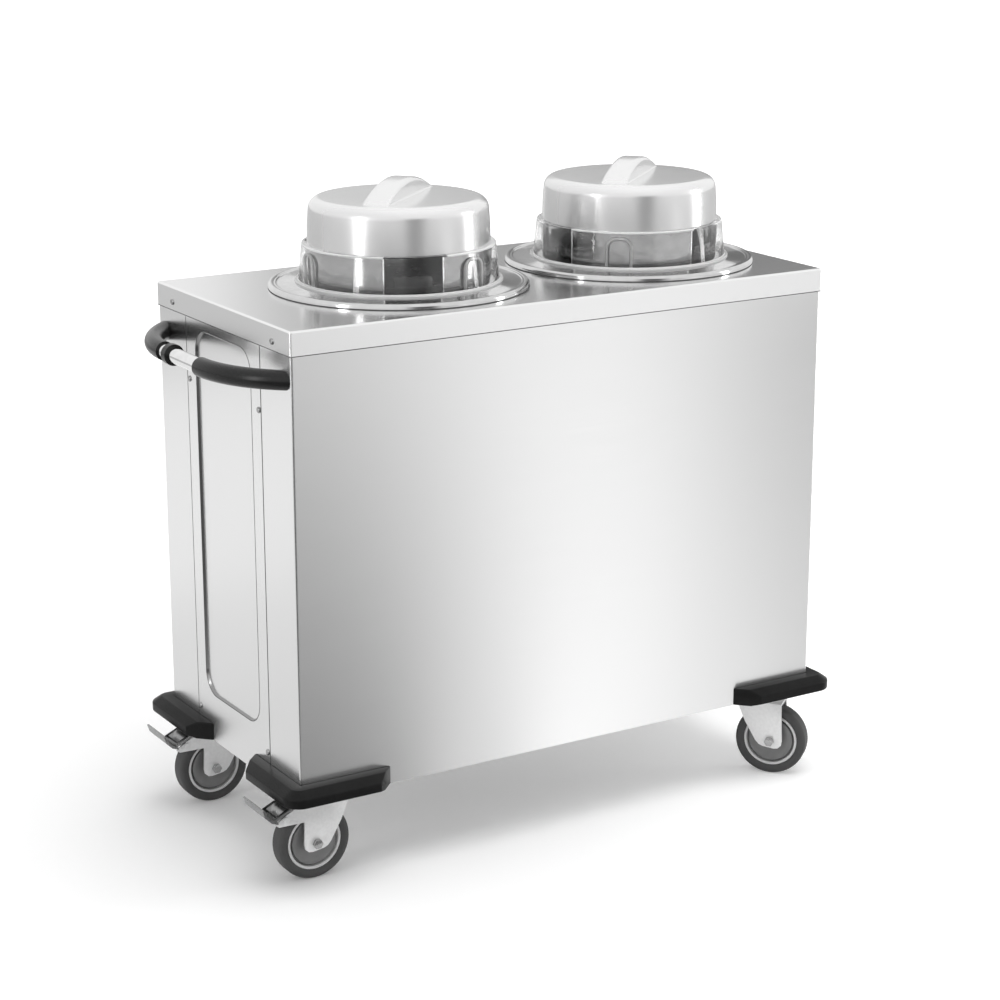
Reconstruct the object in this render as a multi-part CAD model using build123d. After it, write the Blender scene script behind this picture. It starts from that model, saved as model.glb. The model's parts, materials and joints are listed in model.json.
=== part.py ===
"""Plate dispenser cart: a closed sheet cabinet on four casters with two sprung plate dispensers.

Millimetres, +Z up, floor at z = 0.  X runs along the cart (the push handle is at -X) and Y across it.
Positions are written from the middle of the cabinet; place() shifts every piece so that the
middle of the whole cart, handle included, is at x = 0.
"""
import os
from math import asin, atan2, cos, degrees, radians, sin

from build123d import *

os.makedirs("parts", exist_ok=True)

# ---------------------------------------------------------------- cabinet
TRAY_LENGTH = 1000.0
TRAY_WIDTH = 480.0
TRAY_Z = 900.0            # top face of the worktop
SKIRT_H = 38.0            # depth of the worktop's turned-down edge
SHEET = 1.5
TRAY_EDGE_R = 3.0
BODY_Z = 150.0            # lower edge of the side sheets
BODY_CORNER_R = 4.0
RETURN_W = 105.0          # width of the end face that belongs to a side shell
TOP_FLANGE_W = 20.0       # inward flange under the worktop
TAB_REACH = 18.0          # part of the set-back strip that an end panel covers
TAB_ROOT = 12.0           # part of the strip that is behind the shell's own end face
PANEL_GAP = 0.4           # joint line between end panel and shell

BODY_X = TRAY_LENGTH / 2 - SHEET
BODY_Y = TRAY_WIDTH / 2 - SHEET
BODY_TOP = TRAY_Z - SHEET
INNER_X = BODY_X - SHEET
INNER_Y = BODY_Y - SHEET
SEAM_Y = BODY_Y - RETURN_W
PANEL_Y = SEAM_Y - PANEL_GAP

# pressed pocket in the handle-end panel
POCKET_HALF_Y = PANEL_Y - 33.1
POCKET_Z0 = BODY_Z + 82.0
POCKET_Z1 = TRAY_Z - 54.0
POCKET_R = 38.0
POCKET_DEPTH = 3.5
POCKET_BEVEL = 3.0

# ---------------------------------------------------------------- base
RAIL_Z = BODY_Z + 1.0
RAIL_H = 25.0
RAIL_W = 97.0
RAIL_WALL = 2.0
RAIL_END_GAP = 4.0        # rails stop this far from the end sheets
CROSS_W = 50.0
FLOOR_T = 1.5
FLOOR_Z = RAIL_Z + RAIL_H
RAIL_IN_Y = INNER_Y - RAIL_W
RAIL_END_X = INNER_X - RAIL_END_GAP

# ---------------------------------------------------------------- bumpers
BUMPER_Z0 = BODY_Z
BUMPER_Z1 = BUMPER_Z0 + 30.0
BUMPER_PROUD = 35.0
BUMPER_ARM = 160.0
BUMPER_R = 30.0
BUMPER_LOW_FLAT = 21.5
BUMPER_LOW_RISE = 5.0
BUMPER_TOP_FLAT = 20.0
BUMPER_TOP_DROP = 10.5

# ---------------------------------------------------------------- dispensers
FLANGE_MARGIN = 18.0      # right flange to the end of the worktop
FLANGE_GAP = 26.0         # between the two flanges
WINDOW_TURN = {"left": 10.0, "right": 58.0}      # one guide window's angle from +X
LOOP_TURN = {"left": -69.0, "right": -130.5}     # one wire loop's angle from +X
RIB_TURN = 42.0                                  # grip rib's angle from +X
SETS = 3                                         # guides, windows, loops and springs of a dispenser
SPACING = 360.0 / SETS                           # angle from one to the next

TUBE_R = 149.5
TUBE_T = 1.5
FLANGE_W = 62.5           # flange's width round the tube
FLANGE_H = 9.5
FLANGE_EDGE_R = 3.0
FLANGE_Z = TRAY_Z + FLANGE_H
TUBE_Z0 = 182.0
SLOT_W = 20.0
SLOT_Z0 = 190.0
SLOT_Z1 = SLOT_Z0 + 585.0
TUBE_IN_R = TUBE_R - TUBE_T
FLANGE_R = TUBE_R + FLANGE_W
RIGHT_X = TRAY_LENGTH / 2 - FLANGE_MARGIN - FLANGE_R
DISPENSER_X = {"left": RIGHT_X - FLANGE_GAP - 2 * FLANGE_R, "right": RIGHT_X}

GUIDE_SPAN = 84.0         # angle that a guide segment covers
GUIDE_TOP = FLANGE_Z + 60.0
LOOP_ROD = 5.5
LOOP_W = 46.0             # over the rods
LOOP_TOP = GUIDE_TOP - 6.5
LOOP_R = TUBE_R + LOOP_ROD / 2

PLATFORM_GAP = 5.0        # carrier to tube
PLATFORM_R = TUBE_IN_R - PLATFORM_GAP
PLATFORM_T = 2.5
PLATFORM_Z = FLANGE_Z + 10.5   # lower face with the dispenser empty
RIM_TAB_H = 17.0
RIM_TAB_W = 60.0
STRAP_W = 14.0
STRAP_T = 3.0
STRAP_INSET = 5.0
STRAP_R = PLATFORM_R - STRAP_INSET
LUG_Z = SLOT_Z1 - 30.0
LUG_T = 4.0
SPRING_R = 6.5
SPRING_GAP = 7.0          # spring to tube
SPRING_AXIS_R = TUBE_R + SPRING_GAP + SPRING_R
LUG_R = SPRING_AXIS_R + SPRING_R + 1.5
TRAY_HOLE_GAP = 10.0
TRAY_HOLE_R = LUG_R + TRAY_HOLE_GAP
SPRING_TOP = FLANGE_Z - SHEET

# ---------------------------------------------------------------- lids
LID_WALL = 2.0
LID_SKIRT_GAP = 6.0       # skirt to guide segments at the step
LID_SKIRT_R1 = TUBE_R + LID_SKIRT_GAP + LID_WALL
LID_SKIRT_R0 = LID_SKIRT_R1 + 5.5
LID_LIP_R = LID_SKIRT_R0 + 6.0
LID_LIP_T = 4.5
LID_STEP_W = 9.0
LID_DOME_R0 = LID_SKIRT_R1 - LID_STEP_W
LID_DOME_R1 = LID_DOME_R0 - 1.5
LID_STEP_Z = FLANGE_Z + 63.0
LID_DOME_H = 73.5
LID_TOP_Z = LID_STEP_Z + LID_DOME_H
LID_SHOULDER_R = 19.5
RIB_LENGTH = 2 * LID_DOME_R1 - 72.0
RIB_W = 43.0
RIB_H = 30.0
RIB_R = 9.0

# ---------------------------------------------------------------- handle
HANDLE_STANDOFF = 67.5    # end face to the middle of the tube
HANDLE_X = -BODY_X - HANDLE_STANDOFF
HANDLE_Z = TRAY_Z - 78.0
TUBE_HANDLE_R = 12.5
ELBOW_R = 15.5
ELBOW_START_Y = 67.0
ELBOW_FOOT_Y = BODY_Y - 23.5
SOCKET_DEPTH = 18.0
CLIP_R = 17.0
CLIP_Y0 = 31.0
CLIP_Y1 = 45.0
FIT = 0.1                 # clearance round a bolt's shank
HANDLE_BOLT_R = 3.0
HANDLE_BOLT_HEAD_R = 5.5
HANDLE_BOLT_HEAD_H = 4.0
HANDLE_BOLT_L = 14.0

# ---------------------------------------------------------------- casters
CASTER_X = TRAY_LENGTH / 2 - 81.0
CASTER_Y = TRAY_WIDTH / 2 - 53.0
WHEEL_R = 62.5
TYRE_HALF_W = 16.0
TYRE_EDGE_R = 6.0
HUB_R = 47.0
HUB_WEB_HALF_W = 6.0
HUB_RIM_HALF_W = 13.5
HUB_RIM_IN_R = 38.0
HUB_BOSS_R = 15.0
HUB_BOSS_HALF_W = 19.2
TRAIL = 38.0
AXLE_R = 5.0
RUNNING_FIT = 0.05
LEG_IN = 19.5             # wheel plane to a fork leg's inner face
LEG_T = 3.0
CROWN_Z = 129.0
CROWN_T = 4.0
CROWN_FRONT = -20.0
CROWN_BACK = 58.0
RACE_R = 33.0
RACE_WALL = 2.0
RACE_TOP = 145.0
BEARING_R = 30.5
BEARING_IN_R = 12.0
BEARING_Z0 = 133.4
PLATE_T = 4.0
PLATE_LX = 105.0
PLATE_LY = 85.0
PLATE_CORNER_R = 8.0
PLATE_HOLE_X = 40.0
PLATE_HOLE_Y = 30.0
PIN_R = 6.0
PIN_NUT_R = 10.0
PIN_NUT_Z = 121.5
PIN_NUT_H = 7.0
AXLE_HEAD_R = 8.5
AXLE_HEAD_H = 5.5
CASTER_BOLT_R = 4.0
CASTER_BOLT_HEAD_R = 7.0
CASTER_BOLT_HEAD_H = 5.0

# brake pedal of the two handle-end casters; t is the distance behind the swivel axis
BRAKE_PIVOT_T = 92.0
BRAKE_PIVOT_Z = 114.0
BRAKE_PIN_R = 3.0
BRAKE_HUB_R = 6.5
BRAKE_HUB_HALF_W = 19.2
PEDAL_PLATE = [(82.0, 130.0), (112.0, 114.5), (116.0, 118.0), (82.0, 133.5)]
PEDAL_PLATE_HALF_W = 25.0
PEDAL_LIP = [(111.0, 115.0), (123.0, 119.5), (134.0, 130.5), (138.0, 143.0), (135.0, 143.5),
             (130.5, 133.0), (120.5, 123.0), (112.0, 119.5)]
PEDAL_LIP_HALF_W = 35.0
PEDAL_RIB_T = 106.0       # how far the rib under the plate reaches
PEDAL_RIB_HALF_W = 12.0
SHOE_HALF_W = 12.0
SHOE_HALF_T = 3.5
SHOE_REACH = 10.5         # from the pedal's pin to the shoe's end
SHOE_TURN = 22.0          # from the line between pin and axle to the shoe, at rest
LOBE = [(50.0, 130.0), (57.0, 103.0), (104.0, 104.0), (110.0, 108.0), (104.0, 113.0),
        (92.0, 121.0), (78.0, 128.0), (60.0, 133.0)]
LEG = [(-20.0, 133.0), (58.0, 133.0), (60.5, 64.0), (59.0, 56.0), (53.0, 50.5), (46.0, 49.5),
       (26.0, 52.5), (19.0, 55.5), (13.0, 62.0), (-6.0, 95.0), (-16.0, 118.0)]

CASTERS = {                # centre of swivel (x, y) and the way the wheel trails, in degrees
    "handle_front": (-CASTER_X, -CASTER_Y, 180.0),
    "handle_rear": (-CASTER_X, CASTER_Y, 180.0),
    "far_front": (CASTER_X, -CASTER_Y, -50.0),
    "far_rear": (CASTER_X, CASTER_Y, 180.0),
}
BRAKED = ("handle_front", "handle_rear")

# ---------------------------------------------------------------- screws
TRAY_SCREW_Y = TRAY_WIDTH / 2 - 60.0
TRAY_SCREW_Z = TRAY_Z - 25.0
PANEL_SCREW_Y = PANEL_Y - 7.1
PANEL_SCREW_Z = (BODY_Z + 48.0, TRAY_Z - 142.0)
SCREW_R = 2.5
SCREW_HEAD_R = 5.0
SCREW_HEAD_H = 2.2
SCREW_L = 8.0

# middle of the whole cart: the handle reaches further out than the far bumpers
ORIGIN_X = (-HANDLE_X + CLIP_R - BODY_X - BUMPER_PROUD) / 2


def box(x0, x1, y0, y1, z0, z1):
    """Box between two corners."""
    return Pos((x0 + x1) / 2, (y0 + y1) / 2, (z0 + z1) / 2) * Box(x1 - x0, y1 - y0, z1 - z0)


def disc(r, z0, z1, x=0.0, y=0.0):
    """Upright cylinder between two heights."""
    return Pos(x, y, (z0 + z1) / 2) * Cylinder(r, z1 - z0)


def ring(r_out, r_in, z0, z1):
    """Upright tube between two heights."""
    return disc(r_out, z0, z1) - disc(r_in, z0 - 1, z1 + 1)


def rod_x(r, x0, x1, y, z):
    """Cylinder that lies along X."""
    return Pos((x0 + x1) / 2, y, z) * Rot(0, 90, 0) * Cylinder(r, x1 - x0)


def rod_y(r, y0, y1, x, z):
    """Cylinder that lies along Y."""
    return Pos(x, (y0 + y1) / 2, z) * Rot(90, 0, 0) * Cylinder(r, y1 - y0)


def revolve_rz(points):
    """Full turn about Z of a closed outline given as (radius, height)."""
    face = make_face(Polyline(*[(r, 0, z) for r, z in points], close=True).edges())
    return revolve(face, Axis.Z, 360)


def turned(shape, degrees_z):
    """Shape turned about the Z axis."""
    return Rot(0, 0, degrees_z) * shape


def solids_of(shape):
    """All separate solids of a shape or of a list of shapes."""
    items = shape if isinstance(shape, (list, tuple)) else [shape]
    return [s for item in items for s in item.solids()]


def place(name, shape):
    """Write one named piece, moved so that the whole cart's middle is at x = 0."""
    moved = [Pos(ORIGIN_X, 0, 0) * s for s in solids_of(shape)]
    export_step(moved[0] if len(moved) == 1 else Compound(children=moved), f"parts/{name}.step")


def rounded_block(half_x, half_y, z0, z1, r, vertical_only=False):
    """Block about the Z axis with rounded upright edges and, if wanted, rounded top edges."""
    block = box(-half_x, half_x, -half_y, half_y, z0, z1)
    edges = block.edges().filter_by(Axis.Z)
    if not vertical_only:
        edges = edges + block.faces().sort_by(Axis.Z)[-1].edges()
    return fillet(edges, r)


# ---------------------------------------------------------------- cabinet pieces
def part_of(shape, y0, y1, z0, z1):
    """What lies between two distances across the cart, |y|, and two heights, as separate solids."""
    far = TRAY_LENGTH
    slices = [shape & box(-far, far, *sorted((side * y0, side * y1)), z0, z1) for side in (-1, 1)]
    if y0 == 0:
        slices = [shape & box(-far, far, -y1, y1, z0, z1)]
    return [solid for piece in slices if piece for solid in piece.solids()]


def folded_worktop():
    """Worktop with its turned-down edge, before it is parted at the fold."""
    outer = rounded_block(TRAY_LENGTH / 2, TRAY_WIDTH / 2, TRAY_Z - SKIRT_H, TRAY_Z, TRAY_EDGE_R)
    inner = rounded_block(BODY_X, BODY_Y, TRAY_Z - SKIRT_H - 1, BODY_TOP, TRAY_EDGE_R - SHEET, True)
    tray = outer - inner
    for x in DISPENSER_X.values():
        tray -= disc(TRAY_HOLE_R, BODY_TOP - 1, TRAY_Z + 1, x)
    return tray - tray_screw_holes()


def worktop_tray():
    """The worktop above its fold."""
    return part_of(folded_worktop(), 0, TRAY_WIDTH, BODY_TOP, TRAY_Z + 1)


def worktop_edge():
    """The four turned-down strips below the fold, the corners on the long ones."""
    tray = folded_worktop()
    join = BODY_Y - TRAY_EDGE_R
    below = TRAY_Z - SKIRT_H - 1
    return part_of(tray, join, TRAY_WIDTH, below, BODY_TOP) + part_of(tray, 0, join, below, BODY_TOP)


def tray_screw_holes():
    """Holes through the tray's end skirts and the shells behind them."""
    cuts = []
    for side in (-1, 1):
        for y in (-TRAY_SCREW_Y, TRAY_SCREW_Y):
            x0, x1 = sorted((side * (BODY_X - 6), side * (TRAY_LENGTH / 2 + 1)))
            cuts.append(rod_x(SCREW_R + FIT, x0, x1, y, TRAY_SCREW_Z))
    return cuts


def folded_shell(side):
    """Long face with a narrow end face at each end and a top flange, before it is parted at the folds."""
    outer = rounded_block(BODY_X, BODY_Y, BODY_Z, BODY_TOP, BODY_CORNER_R, True)
    inner = rounded_block(INNER_X, INNER_Y, BODY_Z - 1, BODY_TOP - SHEET, BODY_CORNER_R - SHEET, True)
    mouth = rounded_block(INNER_X - TOP_FLANGE_W, INNER_Y - TOP_FLANGE_W, BODY_TOP - 2 * SHEET,
                          BODY_TOP + 1, BODY_CORNER_R - SHEET, True)
    y0, y1 = sorted((side * SEAM_Y, side * (BODY_Y + 1)))
    half = box(-BODY_X, BODY_X, y0, y1, BODY_Z - 1, BODY_TOP + 1)
    shell = (outer - inner - mouth) & half
    for end in (-1, 1):
        x0, x1 = sorted((end * INNER_X, end * (INNER_X - SHEET)))
        y0, y1 = sorted((side * (SEAM_Y - TAB_REACH), side * (SEAM_Y + TAB_ROOT)))
        shell += box(x0, x1, y0, y1, BODY_Z + 2 * RAIL_H, BODY_TOP - SHEET)
    return shell - tray_screw_holes() - panel_screw_holes() - handle_bolt_holes(BODY_X + 1)


def side_shell(side):
    """The long face of a shell with its two rounded corners."""
    return part_of(folded_shell(side), BODY_Y - BODY_CORNER_R, TRAY_WIDTH, BODY_Z - 1, BODY_TOP - SHEET)


def corner_returns():
    """The narrow end faces of both shells, each with its set-back strip."""
    join = BODY_Y - BODY_CORNER_R
    return [solid for side in (-1, 1)
            for solid in part_of(folded_shell(side), 0, join, BODY_Z - 1, BODY_TOP - SHEET)]


def top_flanges():
    """The inward flanges of both shells under the worktop, parted at the corners."""
    join = INNER_Y - TOP_FLANGE_W
    z0, z1 = BODY_TOP - SHEET, BODY_TOP + 1
    strips = []
    for side in (-1, 1):
        shell = folded_shell(side)
        strips += part_of(shell, join, TRAY_WIDTH, z0, z1) + part_of(shell, 0, join, z0, z1)
    return strips


def panel_screw_holes():
    """Holes through the end panels and the strips behind them."""
    cuts = []
    for end in (-1, 1):
        x0, x1 = sorted((end * (BODY_X + 1), end * (BODY_X - 6)))
        for y in (-PANEL_SCREW_Y, PANEL_SCREW_Y):
            cuts += [rod_x(SCREW_R + FIT, x0, x1, y, z) for z in PANEL_SCREW_Z]
    return cuts


def handle_bolt_holes(reach):
    """Holes for the bolts that hold the two elbows, from inside the cabinet out to -reach."""
    return [rod_x(HANDLE_BOLT_R + FIT, -reach, -INNER_X + 1, side * ELBOW_FOOT_Y, HANDLE_Z)
            for side in (-1, 1)]


def end_panel(end):
    x0, x1 = sorted((end * BODY_X, end * INNER_X))
    return box(x0, x1, -PANEL_Y, PANEL_Y, BODY_Z, BODY_TOP - SHEET)


def pocket(shrink, depth, mouth_x):
    """Tapered rounded block that forms the pressed pocket."""
    def outline(inset, x):
        half_y = POCKET_HALF_Y - shrink - inset
        z0 = POCKET_Z0 + shrink + inset
        z1 = POCKET_Z1 - shrink - inset
        plane = Plane(origin=(x, 0, (z0 + z1) / 2), x_dir=(0, 1, 0), z_dir=(1, 0, 0))
        return plane * RectangleRounded(2 * half_y, z1 - z0, POCKET_R - shrink - inset)
    return loft([outline(0, mouth_x), outline(POCKET_BEVEL, mouth_x + depth)])


def handle_end_panel():
    raised = pocket(-SHEET, POCKET_DEPTH, -INNER_X)
    hollow = pocket(0, POCKET_DEPTH, -BODY_X)
    return end_panel(-1) + raised - hollow - panel_screw_holes()


def far_end_panel():
    return end_panel(1) - panel_screw_holes()


def long_rail(side):
    """Hollow rectangular tube under each long side."""
    y0, y1 = sorted((side * RAIL_IN_Y, side * INNER_Y))
    solid = box(-RAIL_END_X, RAIL_END_X, y0, y1, RAIL_Z, FLOOR_Z)
    w = RAIL_WALL
    rail = solid - box(-RAIL_END_X - 1, RAIL_END_X + 1, y0 + w, y1 - w, RAIL_Z + w, FLOOR_Z - w)
    return rail - caster_bolt_holes(RAIL_Z + w + 1)


def cross_rails():
    """Hollow rectangular tubes from rail to rail: one at each end and one in the middle."""
    w = RAIL_WALL
    rails = []
    for x in (-RAIL_END_X + CROSS_W / 2, 0.0, RAIL_END_X - CROSS_W / 2):
        solid = box(x - CROSS_W / 2, x + CROSS_W / 2, -RAIL_IN_Y, RAIL_IN_Y, RAIL_Z, FLOOR_Z)
        hollow = box(x - CROSS_W / 2 + w, x + CROSS_W / 2 - w, -RAIL_IN_Y - 1, RAIL_IN_Y + 1,
                     RAIL_Z + w, FLOOR_Z - w)
        rails.append(solid - hollow)
    return rails


def floor_plate():
    return box(-RAIL_END_X, RAIL_END_X, -INNER_Y, INNER_Y, FLOOR_Z, FLOOR_Z + FLOOR_T)


def bumper(end, side):
    """Corner block: two bevelled arms, a rounded corner and slanted arm ends."""
    p = BUMPER_PROUD
    c = p - BUMPER_R
    arm = BUMPER_ARM

    def profile(u0):
        return [(u0, BUMPER_Z0), (BUMPER_LOW_FLAT, BUMPER_Z0), (p, BUMPER_Z0 + BUMPER_LOW_RISE),
                (p, BUMPER_Z1 - BUMPER_TOP_DROP), (BUMPER_TOP_FLAT, BUMPER_Z1), (u0, BUMPER_Z1)]

    def bar():
        """Arm along -X, its back against the plane y = 0."""
        face = make_face(Polyline(*[(0, u, z) for u, z in profile(0)], close=True).edges())
        straight = Pos(-arm, 0, 0) * extrude(face, amount=arm + c, dir=(1, 0, 0))
        cutter = make_face(Polyline((-arm, 0, BUMPER_Z0), (-arm + p, p, BUMPER_Z0),
                                    (-arm - 1, p, BUMPER_Z0), (-arm - 1, 0, BUMPER_Z0),
                                    close=True).edges())
        return straight - extrude(cutter, amount=BUMPER_Z1 - BUMPER_Z0, dir=(0, 0, 1))

    quarter = make_face(Polyline(*[(u - c, 0, z) for u, z in profile(c)], close=True).edges())
    corner = Pos(c, c, 0) * revolve(quarter, Axis.Z, 90)
    along_x = bar()
    along_y = mirror(bar(), Plane((0, 0, 0), z_dir=(1, -1, 0)))
    block = along_x + along_y + corner
    if end < 0:
        block = mirror(block, Plane.YZ)
    if side < 0:
        block = mirror(block, Plane.XZ)
    return Pos(end * BODY_X, side * BODY_Y, 0) * block


# ---------------------------------------------------------------- dispenser pieces
def each_set(shape, start):
    """One copy for each set, evenly round the Z axis."""
    return [turned(shape, start + i * SPACING) for i in range(SETS)]


def dispenser_flange():
    r, z, t = FLANGE_R, FLANGE_Z, SHEET
    outer = disc(r, TRAY_Z, z)
    outer = fillet(outer.edges().sort_by(Axis.Z)[-1], FLANGE_EDGE_R)
    inner = disc(r - t, TRAY_Z - 1, z - t)
    inner = fillet(inner.edges().sort_by(Axis.Z)[-1], FLANGE_EDGE_R - t)
    return outer - inner - disc(TUBE_R, TRAY_Z - 2, z + 1)


def sector(r_out, r_in, z0, z1, span):
    """Part of an upright tube, centred on +X."""
    flat = make_face(Polyline((r_in, 0, z0), (r_out, 0, z0), (r_out, 0, z1), (r_in, 0, z1),
                              close=True).edges())
    return turned(revolve(flat, Axis.Z, span), -span / 2)


def guide_segments(turn):
    return each_set(sector(TUBE_R, TUBE_IN_R, FLANGE_Z, GUIDE_TOP, GUIDE_SPAN), turn + SPACING / 2)


def dispenser_tube(turn):
    """Long tube under the flange with a slot for each lug of the carrier."""
    tube = ring(TUBE_R, TUBE_IN_R, TUBE_Z0, FLANGE_Z)
    slot = box(TUBE_IN_R - 20, TUBE_R + 5, -SLOT_W / 2, SLOT_W / 2, SLOT_Z0, SLOT_Z1)
    for cut in each_set(slot, turn):
        tube -= cut
    return tube


def wire_loop():
    """Upright wire bent over at the top, its feet on the flange, centred on +X."""
    r = LOOP_ROD / 2
    half = LOOP_W / 2 - r
    bend = 16.0
    z = LOOP_TOP - r
    path = Polyline((LOOP_R, -half, FLANGE_Z), (LOOP_R, -half, z), (LOOP_R, half, z),
                    (LOOP_R, half, FLANGE_Z))
    path = fillet(path.vertices().group_by(Axis.Z)[-1], bend)
    start = Plane(origin=(LOOP_R, -half, FLANGE_Z), z_dir=(0, 0, 1))
    return sweep(start * Circle(r), path=path)


def wire_loops(turn):
    return each_set(wire_loop(), turn)


def carrier(turn):
    """Plate rest with upturned rim tabs, and three straps that reach down to the spring lugs."""
    rest = disc(PLATFORM_R, PLATFORM_Z, PLATFORM_Z + PLATFORM_T)
    half = degrees(RIM_TAB_W / 2 / PLATFORM_R)
    top = PLATFORM_Z + PLATFORM_T
    tab = sector(PLATFORM_R, PLATFORM_R - PLATFORM_T, top, top + RIM_TAB_H, 2 * half)
    strap = box(STRAP_R - STRAP_T / 2, STRAP_R + STRAP_T / 2, -STRAP_W / 2, STRAP_W / 2,
                LUG_Z, PLATFORM_Z)
    lug = box(STRAP_R - STRAP_T / 2, LUG_R, -STRAP_W / 2, STRAP_W / 2, LUG_Z, LUG_Z + LUG_T)
    body = rest
    for piece in each_set(tab, turn) + each_set(strap, turn) + each_set(lug, turn):
        body += piece
    return body


def springs(turn):
    """Three closed extension springs from the lugs up to the underside of the flange."""
    return each_set(disc(SPRING_R, LUG_Z + LUG_T, SPRING_TOP, SPRING_AXIS_R), turn)


def rounded_shoulder(shape, r):
    """Turned shape with its topmost circular edge rounded."""
    return fillet([e for e in shape.edges().group_by(Axis.Z)[-1] if e.geom_type == GeomType.CIRCLE], r)


def lid():
    """Stepped cover: lip, sloping skirt, step, dome with a rounded shoulder and an arched grip rib."""
    z0 = FLANGE_Z
    outer = [(0, z0), (LID_LIP_R, z0), (LID_LIP_R, z0 + LID_LIP_T), (LID_SKIRT_R0, z0 + LID_LIP_T),
             (LID_SKIRT_R1, LID_STEP_Z), (LID_DOME_R0, LID_STEP_Z), (LID_DOME_R1, LID_TOP_Z), (0, LID_TOP_Z)]
    w = LID_WALL
    inner = [(0, z0 - 1), (LID_SKIRT_R0 - w, z0 - 1), (LID_SKIRT_R0 - w, z0 + LID_LIP_T),
             (LID_SKIRT_R1 - w, LID_STEP_Z - w), (LID_DOME_R0 - w, LID_STEP_Z - w),
             (LID_DOME_R1 - w, LID_TOP_Z - w), (0, LID_TOP_Z - w)]
    body = rounded_shoulder(revolve_rz(outer), LID_SHOULDER_R)
    space = rounded_shoulder(revolve_rz(inner), LID_SHOULDER_R - w)
    return body - space + turned(grip_rib(), RIB_TURN) - turned(rib_hollow(), RIB_TURN)


def arched_block(half, foot, top, width, r):
    """Upright slice with an arched top, rounded along the arch."""
    arc = ThreePointArc((-half, 0, foot), (0, 0, top), (half, 0, foot))
    face = make_face([arc, Line((half, 0, foot), (-half, 0, foot))])
    block = extrude(face, amount=width / 2, dir=(0, 1, 0), both=True)
    return fillet([e for e in block.edges() if e.geom_type == GeomType.CIRCLE], r)


def grip_rib():
    """Arched rib across the top of a lid."""
    return arched_block(RIB_LENGTH / 2, LID_TOP_Z - LID_WALL / 2, LID_TOP_Z + RIB_H, RIB_W, RIB_R)


def rib_hollow():
    """Space inside the rib, open to the inside of the lid."""
    w = LID_WALL
    return arched_block(RIB_LENGTH / 2 - 3 * w, LID_TOP_Z - 2 * w, LID_TOP_Z + RIB_H - w, RIB_W - 2 * w,
                        RIB_R - w)


# ---------------------------------------------------------------- handle pieces
def elbow_arc():
    """Radius and end angle of the bend that takes an elbow from the grip to the cabinet."""
    out = -BODY_X - HANDLE_X
    run = ELBOW_FOOT_Y - ELBOW_START_Y
    r = (run ** 2 + out ** 2) / (2 * out)
    return r, asin(run / r)


def elbow(side):
    """Bent black grip end from the steel tube to the cabinet's end face."""
    r, angle = elbow_arc()
    reach = angle + 0.2
    cx = HANDLE_X + r
    path = CenterArc((0, 0), r, 180 - degrees(reach), degrees(reach))
    path = Pos(cx, 0, 0) * path
    start = Plane(origin=(HANDLE_X, 0, 0), z_dir=(0, 1, 0), x_dir=(1, 0, 0))
    bent = sweep(start * Circle(ELBOW_R), path=path)
    bent = bent & box(HANDLE_X - 2 * ELBOW_R, -BODY_X, -1, 2 * r, -2 * ELBOW_R, 2 * ELBOW_R)
    bent -= rod_y(TUBE_HANDLE_R, -1, SOCKET_DEPTH, HANDLE_X, 0)
    bent = Pos(0, ELBOW_START_Y, HANDLE_Z) * bent
    if side < 0:
        bent = mirror(bent, Plane.XZ)
    return bent - handle_bolt_holes(BODY_X + HANDLE_BOLT_L)


def handle_tube():
    y = ELBOW_START_Y + SOCKET_DEPTH
    bar = rod_y(TUBE_HANDLE_R, -y, y, HANDLE_X, HANDLE_Z)
    return bar - rod_y(TUBE_HANDLE_R - SHEET, -y - 1, y + 1, HANDLE_X, HANDLE_Z)


def clip_ring():
    band = rod_y(CLIP_R, CLIP_Y0, CLIP_Y1, HANDLE_X, HANDLE_Z)
    return band - rod_y(TUBE_HANDLE_R, CLIP_Y0 - 1, CLIP_Y1 + 1, HANDLE_X, HANDLE_Z)


def handle_bolts():
    """Bolts from inside the cabinet into the elbows."""
    x = -INNER_X
    return [rod_x(HANDLE_BOLT_R, -BODY_X - HANDLE_BOLT_L + FIT, x, s * ELBOW_FOOT_Y, HANDLE_Z)
            + rod_x(HANDLE_BOLT_HEAD_R, x, x + HANDLE_BOLT_HEAD_H, s * ELBOW_FOOT_Y, HANDLE_Z)
            for s in (-1, 1)]


# ---------------------------------------------------------------- screws
def screw(end, face_x, y, z):
    """Screw that goes into an end face, its domed head outside."""
    head_out = face_x + end * SCREW_HEAD_H
    x0, x1 = sorted((face_x, head_out))
    tip = face_x - end * SCREW_L
    s0, s1 = sorted((face_x, tip))
    head = rod_x(SCREW_HEAD_R, x0, x1, y, z)
    rim = head.edges().sort_by(Axis.X)[-1 if end > 0 else 0]
    return fillet(rim, 1.4) + rod_x(SCREW_R, s0, s1, y, z)


def tray_screws():
    return [screw(end, end * TRAY_LENGTH / 2, y, TRAY_SCREW_Z)
            for end in (-1, 1) for y in (-TRAY_SCREW_Y, TRAY_SCREW_Y)]


def panel_screws():
    return [screw(end, end * BODY_X, y, z) for end in (-1, 1)
            for y in (-PANEL_SCREW_Y, PANEL_SCREW_Y) for z in PANEL_SCREW_Z]


# ---------------------------------------------------------------- caster pieces
def caster_spots(dx, dy):
    """The four bolt places of one caster plate."""
    return [(sx * dx, sy * dy) for sx in (-1, 1) for sy in (-1, 1)]


def caster_bolt_holes(top):
    """Holes through the caster plates and the rails' lower walls, up to the height top."""
    cuts = []
    for cx, cy, _ in CASTERS.values():
        cuts += [disc(CASTER_BOLT_R + FIT, RAIL_Z - PLATE_T - 1, top, cx + x, cy + y)
                 for x, y in caster_spots(PLATE_HOLE_X, PLATE_HOLE_Y)]
    return cuts


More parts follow.
